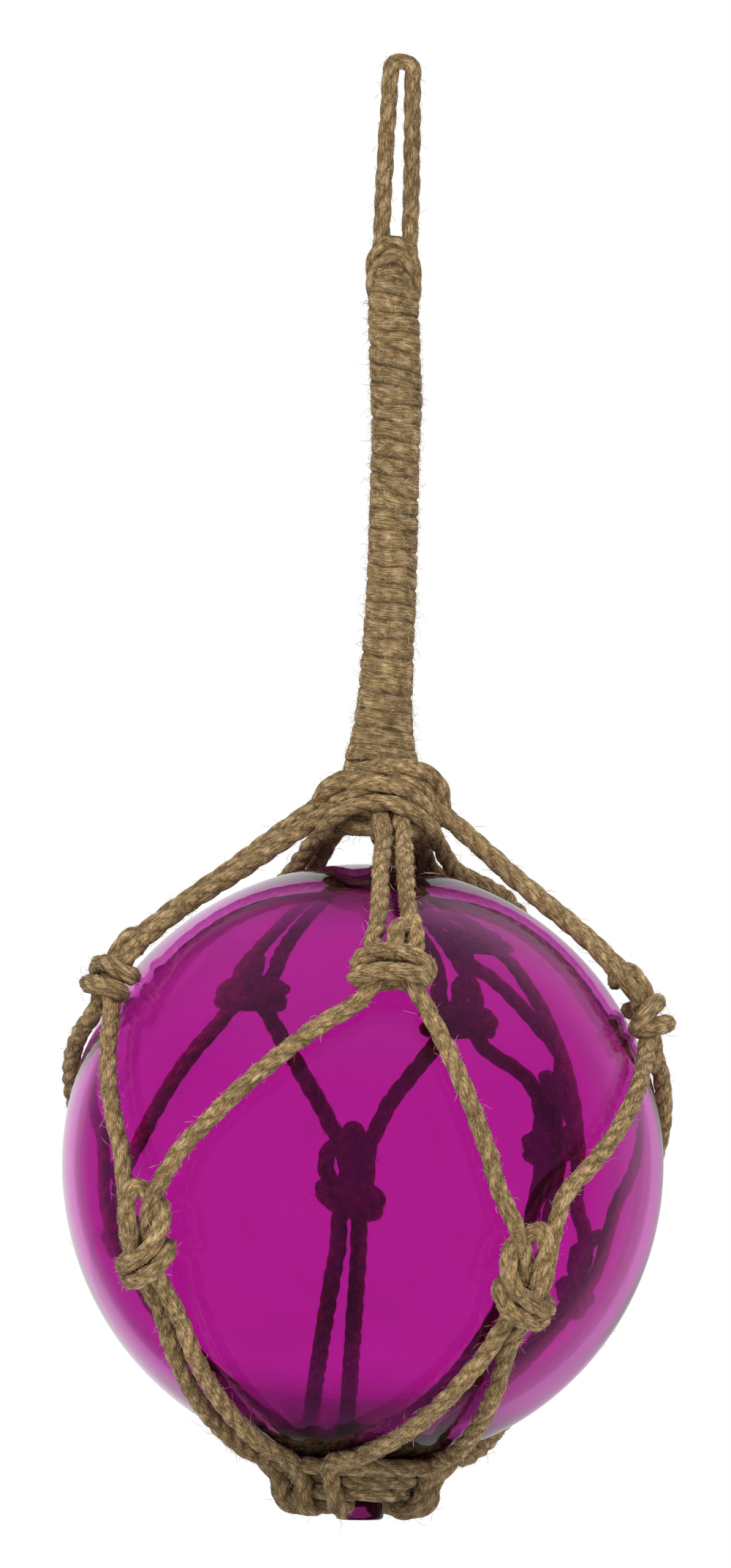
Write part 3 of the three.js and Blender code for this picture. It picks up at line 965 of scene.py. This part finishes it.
# The crown: cords that arch over each other round a flared winding, with a coil below. The front
# half's arches, as azimuth, radius and level under the crown's top, are turned round for the back.
crown = {
    "radius": 2.9 * mm,
    "top": -228 * mm,
    "arches": [
        [
            (-82, 15, -25), (-67, 19.6, -26), (-46, 20.2, -20.8), (-22, 18.6, -16.6), (0, 17.8, -15.4),
            (24, 18.6, -16.6), (47, 20.2, -20.6), (66, 20.4, -25), (80, 15, -25.5),
        ],
        [
            (-64, 13, -19), (-42, 16.0, -14.6), (-16, 16.4, -10.4), (8, 16.4, -9.4), (34, 17.4, -11.8),
            (55, 19.2, -16.6), (72, 19.8, -21), (86, 16, -24),
        ],
        [
            (-44, 10, -7), (-20, 13.4, -4.6), (6, 14.8, -3.6), (30, 16.4, -3.4), (50, 18.8, -4.6),
            (68, 20.8, -8.0), (84, 21.4, -13.6), (96, 20.8, -19.8), (108, 17, -24.6),
        ],
        [
            (-14, 11.5, -9), (18, 14, -8.0), (44, 16.0, -8.2), (64, 18.0, -12), (80, 18.4, -17.4),
            (92, 16.5, -22.6),
        ],
        [
            (22, 11, -7.6), (-4, 13.4, -7.4), (-26, 15.2, -8), (-48, 17.6, -9.6), (-70, 19.2, -13),
            (-87, 19.6, -18.6), (-100, 16.6, -24),
        ],
        [
            (2, 12, -12), (-26, 13.6, -12.4), (-50, 15.4, -14.4), (-72, 16.4, -18.2), (-90, 15, -22.6),
        ],
    ],
    "halves": ((0, 1, 0, 1), (180, 0.88, -4.5, 0.80)),  # turn, reach, drop and height of each half
    "coilTurns": 3,
    "coilSteps": 60,
    "coilRadius": 16.5,
    "coilShrink": 13.5,
    "coilDrop": 24,
    "hairs": 2600,
    "winding": {
        "top": -224.5,
        "foot": -251.5,
        "middles": [(-224, 1.3), (-256, 1.2)],
        "radii": [(-224, 10.9), (-229, 12.0), (-234, 12.6), (-240, 12.8), (-247, 13.0), (-252, 11.5)],
        "around": 190,
        "down": 80,
    },
}


def makeCrown():
    cords = []
    for turned, reach, drop, height in crown["halves"]:
        for arch in crown["arches"]:
            points = []
            for azimuth, radius, level in arch:
                place = crown["top"] + (level * height + drop) * mm
                points.append(aroundAxis(azimuth + turned, radius * reach * mm, place, crownCentre))
            cords.append({"points": points, "radius": crown["radius"]})
    coil = []
    for i in range(crown["coilSteps"] + 1):
        share = i / crown["coilSteps"]
        radius = (crown["coilRadius"] - crown["coilShrink"] * share) * mm
        level = crown["top"] - crown["coilDrop"] * mm
        coil.append(aroundAxis(360 * crown["coilTurns"] * share, radius, level, crownCentre))
    cords.append({"points": coil, "radius": crown["radius"]})
    piece = makeCords("jute_crown_knot", cords, juteMaterial, hairs=crown["hairs"], seed=5)
    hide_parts("crown_knot")
    addPiece("jute_crown_winding", makeWinding("jute_crown_winding", crown["winding"]), juteMaterial)


makeCrown()
print("crown made")


# The hanging loop, whose inner top is the origin
loop = {
    "radius": 2.95 * mm,
    "topSpacing": 7.2 * mm,
    "footSpacing": 9.5 * mm,
    "foot": -66 * mm,
    "bow": 0.3 * mm,
    "squareness": 0.86,
    "hairs": 700,
}


def makeLoop():
    half = loop["topSpacing"] / 2
    archCentre = loop["radius"] - half
    foot = loop["foot"]
    leg = []
    for share in (0.0, 0.12, 0.3, 0.5, 0.7, 0.88):
        width = (loop["footSpacing"] / 2) * (1 - share) + half * share
        width += loop["bow"] * math.sin(math.pi * share)
        leg.append(Vector((width, 0, foot + (archCentre - foot) * share)))
    arch = []
    for i in range(11):
        turn = math.pi * i / 10
        across = math.copysign(abs(math.cos(turn)) ** loop["squareness"], math.cos(turn))
        arch.append(Vector((half * across, 0, archCentre + half * math.sin(turn) ** loop["squareness"])))
    other = [Vector((-point.x, point.y, point.z)) for point in reversed(leg)]
    cords = [{"points": leg + arch + other, "radius": loop["radius"]}]
    piece = makeCords("jute_hanging_loop", cords, juteHandleMaterial, hairs=loop["hairs"], seed=9)
    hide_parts("hanging_loop")


makeLoop()
print("loop made")


# Pale floor under the hanging ball, bright surroundings and soft lights
studio = {
    "floorLevel": -0.64,
    "floorRadius": 1.1,
    "backdrop": 1.0,
    "roomLight": 0.60,
    "roomGloss": 0.05,
    "leftGloss": 0.85,
    "rightGloss": 0.42,
    "ceilingGloss": 0.15,
    "leftPanel": (0.62, 0.96),
    "rightPanel": (0.05, 0.75),
    "ceiling": (0.45, 0.85),
    "middle": (-0.15, 0.25),
    "floorColour": (0.86, 0.86, 0.86),
    "lights": [  # name, place, size and power
        ("key", (-1.1, -1.5, 0.9), (1.0, 1.0), 26),
        ("fill", (1.3, -1.2, 0.1), (0.8, 1.4), 9),
        ("rim", (0.9, 1.2, 0.9), (0.8, 0.8), 12),
    ],
    "aim": (0, 0, -0.3),
}


def makeFloor():
    shape = bmesh.new()
    bmesh.ops.create_circle(shape, cap_ends=True, segments=96, radius=studio["floorRadius"])
    bmesh.ops.translate(shape, verts=shape.verts, vec=(0, 0, studio["floorLevel"]))
    mesh = bpy.data.meshes.new("floor")
    shape.to_mesh(mesh)
    shape.free()
    finish = Finish("pale_floor")
    mesh.materials.append(finish.set(Base_Color=opaque(studio["floorColour"]), Roughness=0.8))
    floor = bpy.data.objects.new("floor", mesh)
    stage.collection.objects.link(floor)
    floor.visible_glossy = False  # the glass shows no line where the floor meets the room


# White seen directly or through the glass, an even light on the cords, and in what the glass reflects
# a darker room with a bright panel behind on each side and a soft ceiling
def makeSurroundings():
    world = bpy.data.worlds.new("studio")
    stage.world = world
    world.use_nodes = True
    world.node_tree.nodes.clear()
    graph = Graph(world.node_tree)
    direct = graph.node("ShaderNodeLightPath", {}, {}, "Is Camera Ray")
    through = graph.node("ShaderNodeLightPath", {}, {}, "Is Transmission Ray")
    gloss = graph.node("ShaderNodeLightPath", {}, {}, "Is Glossy Ray")
    direction = graph.node("ShaderNodeTexCoord", {}, {}, "Generated")
    rightward = graph.node("ShaderNodeSeparateXYZ", {}, {0: direction}, "X")
    backward = graph.node("ShaderNodeSeparateXYZ", {}, {0: direction}, "Y")
    upward = graph.node("ShaderNodeSeparateXYZ", {}, {0: direction}, "Z")
    onRight = graph.range(rightward, *studio["middle"])
    left = graph.range(backward, *studio["leftPanel"], 0.0, studio["leftGloss"])
    right = graph.range(backward, *studio["rightPanel"], 0.0, studio["rightGloss"])
    ceiling = graph.range(upward, *studio["ceiling"], 0.0, studio["ceilingGloss"])
    reflected = left * (1 - onRight) + right * onRight + ceiling + studio["roomGloss"]
    seen = graph.node("ShaderNodeMath", {"operation": "MAXIMUM"}, {0: direct, 1: through})
    hidden = gloss * reflected + (1 - gloss) * studio["roomLight"]
    strength = seen * studio["backdrop"] + (1 - seen) * hidden
    light = graph.node("ShaderNodeBackground", {}, {"Strength": strength})
    light.link.node.inputs["Color"].default_value = opaque((1, 1, 1))
    graph.node("ShaderNodeOutputWorld", {}, {0: light}, None)


def addLight(name, place, size, power):
    data = bpy.data.lights.new(name, "AREA")
    data.shape = "RECTANGLE"
    data.size, data.size_y = size
    data.energy = power
    light = bpy.data.objects.new(name, data)
    aim = Vector(studio["aim"]) - Vector(place)
    light.matrix_world = Matrix.Translation(place) @ aim.to_track_quat("-Z", "Y").to_matrix().to_4x4()
    light.visible_camera = False
    light.visible_glossy = False
    light.visible_transmission = False
    stage.collection.objects.link(light)


makeFloor()
makeSurroundings()
for light in studio["lights"]:
    addLight(*light)
stage.view_settings.view_transform = "Standard"
print("studio made")
